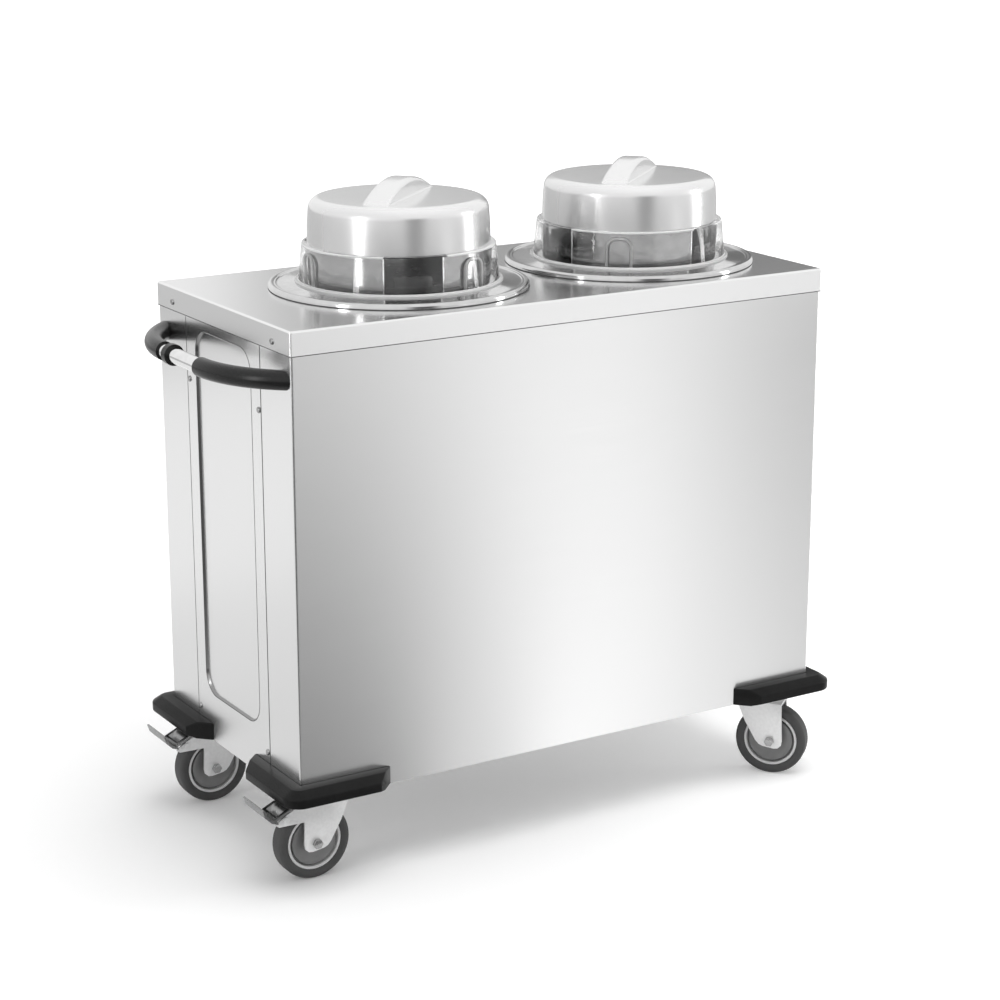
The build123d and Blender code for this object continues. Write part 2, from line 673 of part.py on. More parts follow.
def caster_plate(cx, cy):
    """Top plate with the swivel pin and its nut."""
    z = RAIL_Z - PLATE_T
    plate = rounded_block(PLATE_LX / 2, PLATE_LY / 2, z, RAIL_Z, PLATE_CORNER_R, True)
    plate = Pos(cx, cy, 0) * plate
    pin = disc(PIN_R, PIN_NUT_Z, z + PLATE_T / 2, cx, cy)
    nut = disc(PIN_NUT_R, PIN_NUT_Z, PIN_NUT_Z + PIN_NUT_H, cx, cy)
    return plate + pin + nut - caster_bolt_holes(RAIL_Z + 1)


def caster_bolts():
    """Hexagon bolts that hold the caster plates to the rails."""
    bolts = []
    under = RAIL_Z - PLATE_T
    for cx, cy, _ in CASTERS.values():
        for x, y in caster_spots(PLATE_HOLE_X, PLATE_HOLE_Y):
            head = extrude(Pos(cx + x, cy + y, under - CASTER_BOLT_HEAD_H)
                           * RegularPolygon(CASTER_BOLT_HEAD_R, 6), amount=CASTER_BOLT_HEAD_H)
            bolts.append(head + disc(CASTER_BOLT_R, under, RAIL_Z + RAIL_WALL + FIT, cx + x, cy + y))
    return bolts


def swivel_bearing():
    """Ball race between the top plate and the fork."""
    return ring(BEARING_R, BEARING_IN_R, BEARING_Z0, RAIL_Z - PLATE_T)


def leg_plate(outline, inner, outer):
    """Plate parallel to the wheel, between two distances from the wheel's plane."""
    face = make_face(Polyline(*[(t, inner, z) for t, z in outline], close=True).edges())
    return extrude(face, amount=outer - inner, dir=(0, 1, 0))


def fork(braked):
    """Pressed fork with its race cup; t (distance behind the swivel axis) runs along +X."""
    outer = LEG_IN + LEG_T
    top = CROWN_Z + CROWN_T
    body = box(CROWN_FRONT, CROWN_BACK, -outer, outer, CROWN_Z, top)
    body += disc(RACE_R, CROWN_Z, top)
    for s in (-1, 1):
        a, b = (LEG_IN, outer) if s > 0 else (-outer, -LEG_IN)
        body += leg_plate(LEG, a, b)
        if braked:
            body += leg_plate(LOBE, a, b)
    body += ring(RACE_R, RACE_R - RACE_WALL, top, RACE_TOP)
    body -= disc(PIN_R + RUNNING_FIT, CROWN_Z - 1, top + 1)
    body -= rod_y(AXLE_R + FIT, -outer - 1, outer + 1, TRAIL, WHEEL_R)
    if braked:
        body -= rod_y(BRAKE_PIN_R + FIT, -outer - 1, outer + 1, BRAKE_PIVOT_T, BRAKE_PIVOT_Z)
    return body


def axle_bolt():
    """Axle through both legs with a head and a nut."""
    end = LEG_IN + LEG_T
    bolt = rod_y(AXLE_R, -end, end, TRAIL, WHEEL_R)
    head = extrude(RegularPolygon(AXLE_HEAD_R, 6), amount=AXLE_HEAD_H)
    for y in (-end, end + AXLE_HEAD_H):
        bolt += Pos(TRAIL, y, WHEEL_R) * Rot(90, 0, 0) * head
    return bolt


def brake_pin():
    end = LEG_IN + LEG_T
    pin = rod_y(BRAKE_PIN_R, -end, end, BRAKE_PIVOT_T, BRAKE_PIVOT_Z)
    for y0 in (-end - 2.0, end):
        pin += rod_y(BRAKE_PIN_R + 2.0, y0, y0 + 2.0, BRAKE_PIVOT_T, BRAKE_PIVOT_Z)
    return pin


def brake_pedal():
    """Foot pedal that turns on its pin and presses a shoe on the tyre."""
    t, z = BRAKE_PIVOT_T, BRAKE_PIVOT_Z
    body = rod_y(BRAKE_HUB_R, -BRAKE_HUB_HALF_W, BRAKE_HUB_HALF_W, t, z)
    body += leg_plate(PEDAL_PLATE, -PEDAL_PLATE_HALF_W, PEDAL_PLATE_HALF_W)
    body += leg_plate(PEDAL_LIP, -PEDAL_LIP_HALF_W, PEDAL_LIP_HALF_W)
    plate_z = z + (PEDAL_PLATE[0][1] - z) / 2
    rib = [(t - BRAKE_HUB_R, z), (t, z - BRAKE_HUB_R), (PEDAL_RIB_T, PEDAL_PLATE[1][1] + 4),
           (PEDAL_PLATE[0][0], PEDAL_PLATE[0][1]), (PEDAL_PLATE[0][0] + 1, plate_z)]
    body += leg_plate(rib, -PEDAL_RIB_HALF_W, PEDAL_RIB_HALF_W)
    heading = atan2(WHEEL_R - z, TRAIL - t) + radians(SHOE_TURN)
    ux, uz = cos(heading), sin(heading)
    px, pz = -uz * SHOE_HALF_T, ux * SHOE_HALF_T
    tip = (t + ux * SHOE_REACH, z + uz * SHOE_REACH)
    shoe = [(t + px, z + pz), (t - px, z - pz), (tip[0] - px, tip[1] - pz), (tip[0] + px, tip[1] + pz)]
    body += leg_plate(shoe, -SHOE_HALF_W, SHOE_HALF_W)
    return body - rod_y(BRAKE_PIN_R + RUNNING_FIT, -BRAKE_HUB_HALF_W - 1, BRAKE_HUB_HALF_W + 1, t, z)


def tyre():
    w = TYRE_HALF_W
    block = rod_y(WHEEL_R, -w, w, 0, 0)
    block = fillet([e for e in block.edges() if e.geom_type == GeomType.CIRCLE], TYRE_EDGE_R)
    return block - rod_y(HUB_R, -w - 1, w + 1, 0, 0)


def hub():
    """Wheel centre: rim, thin web and a boss with the bore."""
    body = rod_y(HUB_R, -HUB_RIM_HALF_W, HUB_RIM_HALF_W, 0, 0)
    for s in (-1, 1):
        y0, y1 = sorted((s * HUB_WEB_HALF_W, s * (HUB_RIM_HALF_W + 1)))
        body -= rod_y(HUB_RIM_IN_R, y0, y1, 0, 0)
    body += rod_y(HUB_BOSS_R, -HUB_BOSS_HALF_W, HUB_BOSS_HALF_W, 0, 0)
    return body - rod_y(AXLE_R + RUNNING_FIT, -HUB_BOSS_HALF_W - 1, HUB_BOSS_HALF_W + 1, 0, 0)


# ---------------------------------------------------------------- write every piece
place("worktop_tray", worktop_tray())
place("worktop_edge", worktop_edge())
place("front_shell", side_shell(-1))
place("rear_shell", side_shell(1))
place("corner_returns", corner_returns())
place("top_flanges", top_flanges())
place("handle_end_panel", handle_end_panel())
place("far_end_panel", far_end_panel())
place("front_base_rail", long_rail(-1))
place("rear_base_rail", long_rail(1))
place("base_cross_rails", cross_rails())
place("floor_plate", floor_plate())
for end_name, end in (("handle", -1), ("far", 1)):
    for side_name, side in (("front", -1), ("rear", 1)):
        place(f"{end_name}_{side_name}_bumper", bumper(end, side))

for name, x in DISPENSER_X.items():
    at = Pos(x, 0, 0)
    turn = WINDOW_TURN[name]
    place(f"{name}_dispenser_flange", at * dispenser_flange())
    place(f"{name}_guide_segments", [at * s for s in guide_segments(turn)])
    place(f"{name}_wire_loops", [at * s for s in wire_loops(LOOP_TURN[name])])
    place(f"{name}_dispenser_tube", at * dispenser_tube(turn))
    place(f"{name}_plate_carrier", at * carrier(turn))
    place(f"{name}_carrier_springs", [at * s for s in springs(turn)])
    place(f"{name}_lid", at * lid())

place("handle_tube", handle_tube())
place("handle_clip_ring", clip_ring())
place("front_handle_elbow", elbow(-1))
place("rear_handle_elbow", elbow(1))
place("handle_bolts", handle_bolts())
place("tray_screws", tray_screws())
place("panel_screws", panel_screws())
place("caster_bolts", caster_bolts())
place("swivel_bearings", [Pos(cx, cy, 0) * swivel_bearing() for cx, cy, _ in CASTERS.values()])
place("caster_plates", [caster_plate(cx, cy) for cx, cy, _ in CASTERS.values()])

for name, (cx, cy, heading) in CASTERS.items():
    at = Pos(cx, cy, 0) * Rot(0, 0, heading)
    wheel_at = at * Pos(TRAIL, 0, WHEEL_R)
    braked = name in BRAKED
    place(f"{name}_fork", at * fork(braked))
    place(f"{name}_axle_bolt", at * axle_bolt())
    place(f"{name}_tyre", wheel_at * tyre())
    place(f"{name}_hub", wheel_at * hub())
    if braked:
        place(f"{name}_brake_pin", at * brake_pin())
        place(f"{name}_brake_pedal", at * brake_pedal())
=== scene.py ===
import json
from math import atan2, cos, degrees, pi, radians, sin, sqrt

import bpy
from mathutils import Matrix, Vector


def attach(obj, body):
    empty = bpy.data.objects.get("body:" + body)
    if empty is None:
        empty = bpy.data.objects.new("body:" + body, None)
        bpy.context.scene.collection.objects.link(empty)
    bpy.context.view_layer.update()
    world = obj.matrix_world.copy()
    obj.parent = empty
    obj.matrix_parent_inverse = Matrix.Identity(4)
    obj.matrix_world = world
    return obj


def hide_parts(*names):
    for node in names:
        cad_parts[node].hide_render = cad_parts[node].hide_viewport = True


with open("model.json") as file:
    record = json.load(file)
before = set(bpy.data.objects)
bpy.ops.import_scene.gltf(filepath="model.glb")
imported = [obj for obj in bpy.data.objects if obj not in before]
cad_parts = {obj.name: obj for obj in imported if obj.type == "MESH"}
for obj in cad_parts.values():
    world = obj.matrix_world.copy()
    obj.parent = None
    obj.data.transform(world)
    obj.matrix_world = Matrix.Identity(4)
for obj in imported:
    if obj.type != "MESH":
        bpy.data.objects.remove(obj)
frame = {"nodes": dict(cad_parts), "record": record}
NODES = frame["nodes"]
BODY_OF = {node: body for body, members in frame["record"]["behaviour"]["bodies"].items()
           for node in members}
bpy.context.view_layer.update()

MM = 0.001
SHIFT_X = 24.75           # cabinet's middle to the middle of the whole cart
DISPENSER_X = {"left": -180.0, "right": 270.0}
CASTERS = {               # swivel's place from the cabinet's middle, and the way the wheel trails
    "handle_front": (-419.0, -187.0, 180.0),
    "handle_rear": (-419.0, 187.0, 180.0),
    "far_front": (419.0, -187.0, -50.0),
    "far_rear": (419.0, 187.0, 180.0),
}
BRAKED = ("handle_front", "handle_rear")
TRAIL = 38.0              # from a swivel's middle to its wheel's middle
WHEEL_Z = 62.5
POLE_R = 0.005            # radius that stands for a pole until it is merged
BODY_SIDES = 160          # faces round a flange or a lid
WHEEL_SIDES = 128
DOUBLED = 0.00002         # metres within which points are one, in a new piece
CAD_DOUBLED = 0.00001     # and in a copy of a solid
SMOOTH_ANGLE = 35         # degrees; sharper edges stay sharp
RIB_SMOOTH_ANGLE = 60
FLAT_ANGLE = 1.0          # degrees between faces that count as one flat
SHARP_ANGLE = 32          # degrees from which an edge is rounded


# ------------------------------------------------------------------ working by hand
def let_go():
    """Leaves edit mode with nothing selected."""
    if bpy.context.object and bpy.context.object.mode != "OBJECT":
        bpy.ops.object.mode_set(mode="OBJECT")
    bpy.ops.object.select_all(action="DESELECT")


def pick(piece):
    """Selects one piece and makes it active."""
    let_go()
    piece.select_set(True)
    bpy.context.view_layer.objects.active = piece
    return piece


def settle(piece):
    """Puts the piece's place and turn into its mesh."""
    pick(piece)
    bpy.ops.object.transform_apply(location=True, rotation=True, scale=True)
    return piece


def named(piece, name):
    """Gives a piece and its mesh one name."""
    piece.name = name
    piece.data.name = name
    return piece


def close_up(piece):
    """Merges doubled points, turns faces outwards and smooths all but the sharp edges."""
    pick(piece)
    bpy.ops.object.mode_set(mode="EDIT")
    bpy.ops.mesh.select_all(action="SELECT")
    bpy.ops.mesh.remove_doubles(threshold=DOUBLED)
    bpy.ops.mesh.normals_make_consistent(inside=False)
    bpy.ops.object.mode_set(mode="OBJECT")
    bpy.ops.object.shade_smooth_by_angle(angle=radians(SMOOTH_ANGLE))
    return piece


def turned(name, rings, sides):
    """Round piece about Z, spun up ring by ring from (radius, height) in millimetres."""
    let_go()
    r, z = max(rings[0][0], POLE_R), rings[0][1]
    bpy.ops.mesh.primitive_circle_add(vertices=sides, radius=r * MM, location=(0, 0, z * MM))
    piece = settle(named(bpy.context.object, name))
    bpy.ops.object.mode_set(mode="EDIT")
    bpy.ops.mesh.select_mode(type="VERT")
    bpy.ops.mesh.select_all(action="SELECT")
    for r1, z1 in rings[1:]:
        r1 = max(r1, POLE_R)
        bpy.ops.mesh.extrude_region_move(TRANSFORM_OT_translate={"value": (0, 0, (z1 - z) * MM)})
        bpy.ops.transform.resize(value=(r1 / r, r1 / r, 1), center_override=(0, 0, z1 * MM))
        r, z = r1, z1
    return close_up(piece)


def bend(centre, radius, start, end, steps=8):
    """Points on an arc of a turned outline, with its angles in degrees from straight out."""
    r, z = centre
    return [(r + radius * cos(radians(start + (end - start) * i / steps)),
             z + radius * sin(radians(start + (end - start) * i / steps))) for i in range(steps + 1)]


def copied(piece, name):
    """A copy with its own mesh."""
    pick(piece)
    bpy.ops.object.duplicate()
    return named(bpy.context.object, name)


def put(piece, place, turn=(0, 0, 0)):
    """Turns a piece and moves it, in millimetres, then settles it."""
    piece.rotation_mode = "XYZ"
    piece.rotation_euler = turn
    piece.location = Vector(place) * MM
    return settle(piece)


def round_edges(piece, width, segments=3):
    """Rounds a piece's hard edges; width in millimetres."""
    pick(piece)
    edge = piece.modifiers.new("rounded edges", "BEVEL")
    edge.width = width * MM
    edge.segments = segments
    edge.limit_method = "ANGLE"
    edge.angle_limit = radians(SHARP_ANGLE)
    bpy.ops.object.modifier_apply(modifier=edge.name)


def softened(node, width=0.0):
    """Copy of a CAD solid that stands for it, its hard edges rounded where a width is given."""
    source = NODES[node]
    let_go()
    piece = source.copy()
    piece.data = source.data.copy()
    for key in list(piece.keys()):
        del piece[key]
    piece.parent = None
    bpy.context.scene.collection.objects.link(piece)
    named(piece, node + "_finished")
    pick(piece)
    bpy.ops.object.mode_set(mode="EDIT")
    bpy.ops.mesh.select_all(action="SELECT")
    bpy.ops.mesh.remove_doubles(threshold=CAD_DOUBLED)
    bpy.ops.mesh.dissolve_limited(angle_limit=radians(FLAT_ANGLE))
    bpy.ops.object.mode_set(mode="OBJECT")
    if width:
        round_edges(piece, width)
    bpy.ops.object.shade_smooth_by_angle(angle=radians(SMOOTH_ANGLE))
    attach(piece, BODY_OF[node])
    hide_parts(node)
    return piece


def select_faces(piece, wanted):
    """Selects the faces for which wanted(centre, normal) holds, in edit mode."""
    pick(piece)
    bpy.ops.object.mode_set(mode="EDIT")
    bpy.ops.mesh.select_mode(type="FACE")
    bpy.ops.mesh.select_all(action="DESELECT")
    bpy.ops.object.mode_set(mode="OBJECT")
    for face in piece.data.polygons:
        face.select = wanted(face.center, face.normal)
    bpy.ops.object.mode_set(mode="EDIT")


# ------------------------------------------------------------------ finishes
EVEN = (1, 1, 1)                   # a pattern that isn't stretched
ALONG_X = (0.12, 4.0, 4.0)         # a grain that runs along the cart
ALONG_Z = (4.0, 4.0, 0.12)         # and one that runs upright
NOISE_LOW, NOISE_HIGH = 0.3, 0.7   # the part of the noise that a pattern uses
PLASTIC_IOR = 1.45


def new_finish(name, colour, roughness, metallic=0.0):
    """A plain finish and its shader."""
    finish = bpy.data.materials.new(name)
    finish.use_nodes = True
    shader = finish.node_tree.nodes["Principled BSDF"]
    shader.inputs["Base Color"].default_value = (*colour, 1)
    shader.inputs["Roughness"].default_value = roughness
    shader.inputs["Metallic"].default_value = metallic
    return finish, shader


def calculate(nodes, links, operation, *values):
    """One Math node; each value is a socket or a number."""
    node = nodes.new("ShaderNodeMath")
    node.operation = operation
    for index, value in enumerate(values):
        if isinstance(value, (int, float)):
            node.inputs[index].default_value = value
        else:
            links.new(value, node.inputs[index])
    return node.outputs[0]


def along_axes(nodes, links, kind="Object"):
    """X, Y and Z of the place on a piece, or of its normal there."""
    split = nodes.new("ShaderNodeSeparateXYZ")
    links.new(nodes.new("ShaderNodeTexCoord").outputs[kind], split.inputs["Vector"])
    return split.outputs


def pattern(finish, stretch, scale, detail=3.0):
    """Noise on the piece's own coordinates, stretched along an axis for a grain."""
    nodes, links = finish.node_tree.nodes, finish.node_tree.links
    place = nodes.new("ShaderNodeTexCoord")
    mapping = nodes.new("ShaderNodeMapping")
    mapping.inputs["Scale"].default_value = stretch
    noise = nodes.new("ShaderNodeTexNoise")
    noise.inputs["Scale"].default_value = scale
    noise.inputs["Detail"].default_value = detail
    links.new(place.outputs["Object"], mapping.inputs["Vector"])
    links.new(mapping.outputs["Vector"], noise.inputs["Vector"])
    return noise.outputs["Fac"]


def vary_roughness(finish, fac, low, high):
    """Lets the roughness drift between two limits with a pattern."""
    nodes, links = finish.node_tree.nodes, finish.node_tree.links
    spread = nodes.new("ShaderNodeMapRange")
    spread.inputs["From Min"].default_value = NOISE_LOW
    spread.inputs["From Max"].default_value = NOISE_HIGH
    spread.inputs["To Min"].default_value = low
    spread.inputs["To Max"].default_value = high
    links.new(fac, spread.inputs["Value"])
    links.new(spread.outputs["Result"], nodes["Principled BSDF"].inputs["Roughness"])


def tint(finish, fac, dark, light):
    """Lets the colour drift between two shades with a pattern."""
    nodes, links = finish.node_tree.nodes, finish.node_tree.links
    ramp = nodes.new("ShaderNodeValToRGB")
    ramp.color_ramp.elements[0].position = NOISE_LOW
    ramp.color_ramp.elements[1].position = NOISE_HIGH
    ramp.color_ramp.elements[0].color = (*dark, 1)
    ramp.color_ramp.elements[1].color = (*light, 1)
    links.new(fac, ramp.inputs["Fac"])
    links.new(ramp.outputs["Color"], nodes["Principled BSDF"].inputs["Base Color"])


def relief(finish, fac, strength, depth):
    """Raises the surface with a pattern; depth in millimetres."""
    nodes, links = finish.node_tree.nodes, finish.node_tree.links
    bump = nodes.new("ShaderNodeBump")
    bump.inputs["Strength"].default_value = strength
    bump.inputs["Distance"].default_value = depth * MM
    links.new(fac, bump.inputs["Height"])
    links.new(bump.outputs["Normal"], nodes["Principled BSDF"].inputs["Normal"])


def lean(finish, slope):
    """Tips the shading of upright faces back by a small slope, as a folded edge that leans in."""
    nodes, links = finish.node_tree.nodes, finish.node_tree.links
    drop = calculate(nodes, links, "MULTIPLY", along_axes(nodes, links)["Z"], -slope)
    tip = nodes.new("ShaderNodeBump")
    tip.inputs["Strength"].default_value = 1.0
    tip.inputs["Distance"].default_value = 1.0
    links.new(drop, tip.inputs["Height"])
    links.new(tip.outputs["Normal"], nodes["Principled BSDF"].inputs["Normal"])


SLOPE_FACING, PANEL_FACING = 0.80, 0.97    # how far a slope and the flat panel face along X


def paint_slope_shade(finish, share):
    """Darkens an end panel's pressed slopes to a share of its colour: painted shade on the slopes."""
    nodes, links = finish.node_tree.nodes, finish.node_tree.links
    shader = nodes["Principled BSDF"]
    facing = calculate(nodes, links, "ABSOLUTE", along_axes(nodes, links, "Normal")["X"])
    shade = nodes.new("ShaderNodeMapRange")
    shade.inputs["From Min"].default_value = SLOPE_FACING
    shade.inputs["From Max"].default_value = PANEL_FACING
    shade.inputs["To Min"].default_value = share
    links.new(facing, shade.inputs["Value"])
    darker = nodes.new("ShaderNodeVectorMath")
    darker.operation = "SCALE"
    links.new(shader.inputs["Base Color"].links[0].from_socket, darker.inputs[0])
    links.new(shade.outputs["Result"], darker.inputs["Scale"])
    links.new(darker.outputs["Vector"], shader.inputs["Base Color"])


GLOSS_SCALE, SHADE_SCALE, GRIND_SCALE = 60.0, 260.0, 420.0    # from broad patches to fine lines
GRIND_STRENGTH, GRIND_DEPTH = 0.012, 0.008
EDGE_SLOPE = 0.06                  # the worktop's edge is shaded as if it leaned in by 3.4 degrees
PRESSED_SHADE_SHARE = 0.34


def sheet_finish(name, grain, shade, rough_low, rough_high, drift=0.004, slope=0.0):
    """Ground stainless sheet with a fine grain; either ground lines in relief, or a slope."""
    finish, _ = new_finish(name, (shade,) * 3, rough_low, 1.0)
    vary_roughness(finish, pattern(finish, grain, GLOSS_SCALE), rough_low, rough_high)
    tint(finish, pattern(finish, grain, SHADE_SCALE, 5.0), (shade - drift,) * 3, (shade + drift,) * 3)
    if slope:
        lean(finish, slope)
    else:
        relief(finish, pattern(finish, grain, GRIND_SCALE, 2.0), GRIND_STRENGTH, GRIND_DEPTH)
    return finish


long_grain = sheet_finish("ground_steel_long", ALONG_X, 0.87, 0.22, 0.24)
edge_grain = sheet_finish("ground_steel_edge", ALONG_X, 0.905, 0.24, 0.25, 0.002, EDGE_SLOPE)
upright_grain = sheet_finish("ground_steel_upright", ALONG_Z, 0.86, 0.22, 0.24)
# end panel steel with painted shade on the pocket's pressed slopes
pressed_grain_shaded = sheet_finish("ground_steel_pressed_shaded", ALONG_Z, 0.86, 0.22, 0.24)
paint_slope_shade(pressed_grain_shaded, PRESSED_SHADE_SHARE)
top_grain = sheet_finish("ground_steel_top", ALONG_X, 0.87, 0.18, 0.20)


def mottled_metal(name, shade, rough_low, rough_high, scale):
    """Metal without a grain, in soft patches of gloss and shade."""
    finish, _ = new_finish(name, (shade,) * 3, rough_low, 1.0)
    vary_roughness(finish, pattern(finish, EVEN, scale), rough_low, rough_high)
    tint(finish, pattern(finish, EVEN, scale * 1.7), (shade - 0.04,) * 3, (shade + 0.02,) * 3)
    return finish


polished = mottled_metal("polished_steel", 0.80, 0.07, 0.12, 40.0)
# painted shade: the polished steel made darker on the flange, standing in for the grey surroundings it
# reflects
flange_steel_shaded = mottled_metal("flange_steel_shaded", 0.66, 0.09, 0.14, 40.0)
# painted shade: the polished steel made much darker on the guide segments, standing in for the shade on
# them
guide_steel_shaded = mottled_metal("guide_steel_shaded", 0.32, 0.10, 0.16, 40.0)
# painted shade: a darker steel on screws and axle bolts, standing in for the shading round them
screw_steel_shaded = mottled_metal("screw_steel_shaded", 0.42, 0.18, 0.26, 300.0)
loop_steel = mottled_metal("loop_steel", 0.46, 0.34, 0.42, 200.0)
loop_steel.node_tree.nodes["Principled BSDF"].inputs["Metallic"].default_value = 0.5
zinc = mottled_metal("bright_zinc", 0.84, 0.30, 0.40, 120.0)
zinc.node_tree.nodes["Principled BSDF"].inputs["Metallic"].default_value = 0.45
shaded_steel = mottled_metal("shaded_steel", 0.05, 0.20, 0.28, 60.0)
dark_zinc = mottled_metal("shaded_zinc", 0.10, 0.35, 0.45, 120.0)
pedal_zinc = mottled_metal("pedal_zinc", 0.33, 0.26, 0.36, 260.0)
spring_steel = mottled_metal("spring_steel", 0.45, 0.28, 0.36, 200.0)


def moulded(name, dark, light, rough_low, rough_high, grain, depth, gloss=0.5):
    """Moulded plastic or rubber with a fine surface grain."""
    finish, shader = new_finish(name, light, rough_low)
    shader.inputs["Specular IOR Level"].default_value = gloss
    tint(finish, pattern(finish, EVEN, 25.0), dark, light)
    vary_roughness(finish, pattern(finish, EVEN, grain), rough_low, rough_high)
    relief(finish, pattern(finish, EVEN, grain * 2), 0.25, depth)
    return finish


bumper_black = moulded("bumper_black", (0.008,) * 3, (0.012,) * 3, 0.26, 0.36, 700.0, 0.03, 0.12)
grip_black = moulded("grip_black", (0.010,) * 3, (0.014,) * 3, 0.22, 0.30, 900.0, 0.01, 0.30)
tyre_grey = moulded("tyre_grey", (0.062,) * 3, (0.076,) * 3, 0.52, 0.64, 600.0, 0.05, 0.3)
hub_grey = moulded("hub_grey", (0.17,) * 3, (0.21,) * 3, 0.30, 0.40, 400.0, 0.03)
ring_grey = moulded("ring_grey", (0.64,) * 3, (0.72,) * 3, 0.30, 0.40, 400.0, 0.03)

pearl, pearl_shader = new_finish("pearl_lid", (0.76,) * 3, 0.26, 0.72)
tint(pearl, pattern(pearl, EVEN, 900.0), (0.75,) * 3, (0.77,) * 3)
vary_roughness(pearl, pattern(pearl, EVEN, 12.0), 0.25, 0.27)
pearl_shader.inputs["Coat Weight"].default_value = 0.3
pearl_shader.inputs["Coat Roughness"].default_value = 0.12

clear, clear_shader = new_finish("clear_skirt", (0.96,) * 3, 0.02)
clear_shader.inputs["Transmission Weight"].default_value = 1.0
clear_shader.inputs["IOR"].default_value = PLASTIC_IOR
clear_shader.inputs["Specular IOR Level"].default_value = 0.3
vary_roughness(clear, pattern(clear, EVEN, 20.0), 0.01, 0.04)

# painted highlight: whiter, part-clear plastic for the skirt's foot and shoulder, standing in for their
# bright highlight lines
frosted_highlight, frosted_highlight_shader = new_finish("frosted_lip_highlight", (0.93,) * 3, 0.12)
frosted_highlight_shader.inputs["Transmission Weight"].default_value = 0.45
frosted_highlight_shader.inputs["IOR"].default_value = PLASTIC_IOR
vary_roughness(frosted_highlight, pattern(frosted_highlight, EVEN, 20.0), 0.10, 0.16)


def dress(piece, finish):
    """Gives a piece one finish and, where it has one, its slot."""
    piece.data.materials.clear()
    piece.data.materials.append(finish)


CAD_FINISH = {
    "worktop_tray": top_grain, "worktop_edge": edge_grain, "corner_returns": upright_grain,
    "top_flanges": zinc, "front_shell": long_grain, "rear_shell": long_grain,
    "handle_end_panel": pressed_grain_shaded, "far_end_panel": upright_grain,
    "front_base_rail": zinc, "rear_base_rail": zinc, "base_cross_rails": zinc, "floor_plate": zinc,
    "handle_tube": polished, "handle_bolts": zinc, "swivel_bearings": zinc, "caster_plates": zinc,
    "caster_bolts": zinc, "handle_clip_ring": grip_black,
    "front_handle_elbow": grip_black, "rear_handle_elbow": grip_black,
}
for side in ("left", "right"):
    CAD_FINISH[side + "_guide_segments"] = guide_steel_shaded
    CAD_FINISH[side + "_wire_loops"] = loop_steel
    CAD_FINISH[side + "_dispenser_tube"] = shaded_steel
    CAD_FINISH[side + "_plate_carrier"] = shaded_steel
    CAD_FINISH[side + "_carrier_springs"] = spring_steel
for node, finish in CAD_FINISH.items():
    NODES[node].data.materials.clear()
    NODES[node].data.materials.append(finish)

# ------------------------------------------------------------------ softened solids
for node in ("handle_front_bumper", "handle_rear_bumper", "far_front_bumper", "far_rear_bumper"):
    dress(softened(node, 1.6), bumper_black)
for node in ("tray_screws", "panel_screws"):
    dress(softened(node), screw_steel_shaded)
for caster in CASTERS:
    dress(softened(caster + "_fork", 1.1), zinc)
    dress(softened(caster + "_axle_bolt", 0.8), screw_steel_shaded)
for caster in BRAKED:
    dress(softened(caster + "_brake_pin", 0.5), zinc)

# ------------------------------------------------------------------ joint lines: dark strips of painted shadow in the joints and folds
# painted shadow: a near-black finish for strips that stand for the shade in gaps and folds
painted_shadow_finish, _ = new_finish("painted_joint_shadow", (0.05,) * 3, 0.6)
tint(painted_shadow_finish, pattern(painted_shadow_finish, EVEN, 80.0), (0.04,) * 3, (0.07,) * 3)


def shadow_ring_line(name, place, size, width, push, turn=(0, 0, 0), corner=0.0):
    """Thin dark line round a rectangle, a painted shadow along a gap or a fold; its corners rounded where a
    radius is given.
    """
    let_go()
    bpy.ops.mesh.primitive_plane_add(size=1, rotation=turn, location=Vector(place) * MM)
    line = named(bpy.context.object, name)
    line.scale = (size[0] * MM, size[1] * MM, 1)
    settle(line)
    bpy.ops.object.mode_set(mode="EDIT")
    bpy.ops.mesh.select_mode(type="VERT")
    bpy.ops.mesh.select_all(action="SELECT")
    if corner:
        bpy.ops.mesh.bevel(offset=corner * MM, segments=12, affect="VERTICES")
        bpy.ops.mesh.select_all(action="SELECT")
    bpy.ops.mesh.inset(thickness=width * MM)
    bpy.ops.mesh.delete(type="FACE")
    bpy.ops.mesh.select_all(action="SELECT")
    bpy.ops.mesh.extrude_region_move(TRANSFORM_OT_translate={"value": Vector(push) * MM})
    bpy.ops.object.mode_set(mode="OBJECT")
    close_up(line)
    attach(line, "cart")
    dress(line, painted_shadow_finish)


# dark line painted as the shadow under the worktop's turned-down edge
shadow_ring_line("worktop_joint_shadow", (SHIFT_X, 0, 860.6), (999.2, 479.2), 1.1, (0, 0, 1.3))

BEAD_X, BEAD_Y, BEAD_Z = 498.55, 133.7, 505.0      # from the cabinet's middle
BEAD_DEEP, BEAD_HEIGHT, BEAD_ROUND = 0.4, 708.0, 0.12
BEAD_WIDTH = {"front": 2.0, "rear": 1.2}


def panel_joint_shadow(name, end, side, width):
    """Thin dark rounded bead painted as the shadow in the joint between an end panel and the narrow face
    beside it.
    """
    let_go()
    place = (SHIFT_X + end * BEAD_X, side * BEAD_Y, BEAD_Z)
    bpy.ops.mesh.primitive_cube_add(size=1, location=Vector(place) * MM)
    bead = named(bpy.context.object, name)
    bead.scale = (BEAD_DEEP * MM, width * MM, BEAD_HEIGHT * MM)
    settle(bead)
    round_edges(bead, BEAD_ROUND, 2)
    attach(bead, "cart")
    dress(bead, painted_shadow_finish)


for end_name, end in (("handle", -1), ("far", 1)):
    for side_name, side in (("front", -1), ("rear", 1)):
        panel_joint_shadow(f"{end_name}_{side_name}_panel_joint_shadow", end, side, BEAD_WIDTH[side_name])

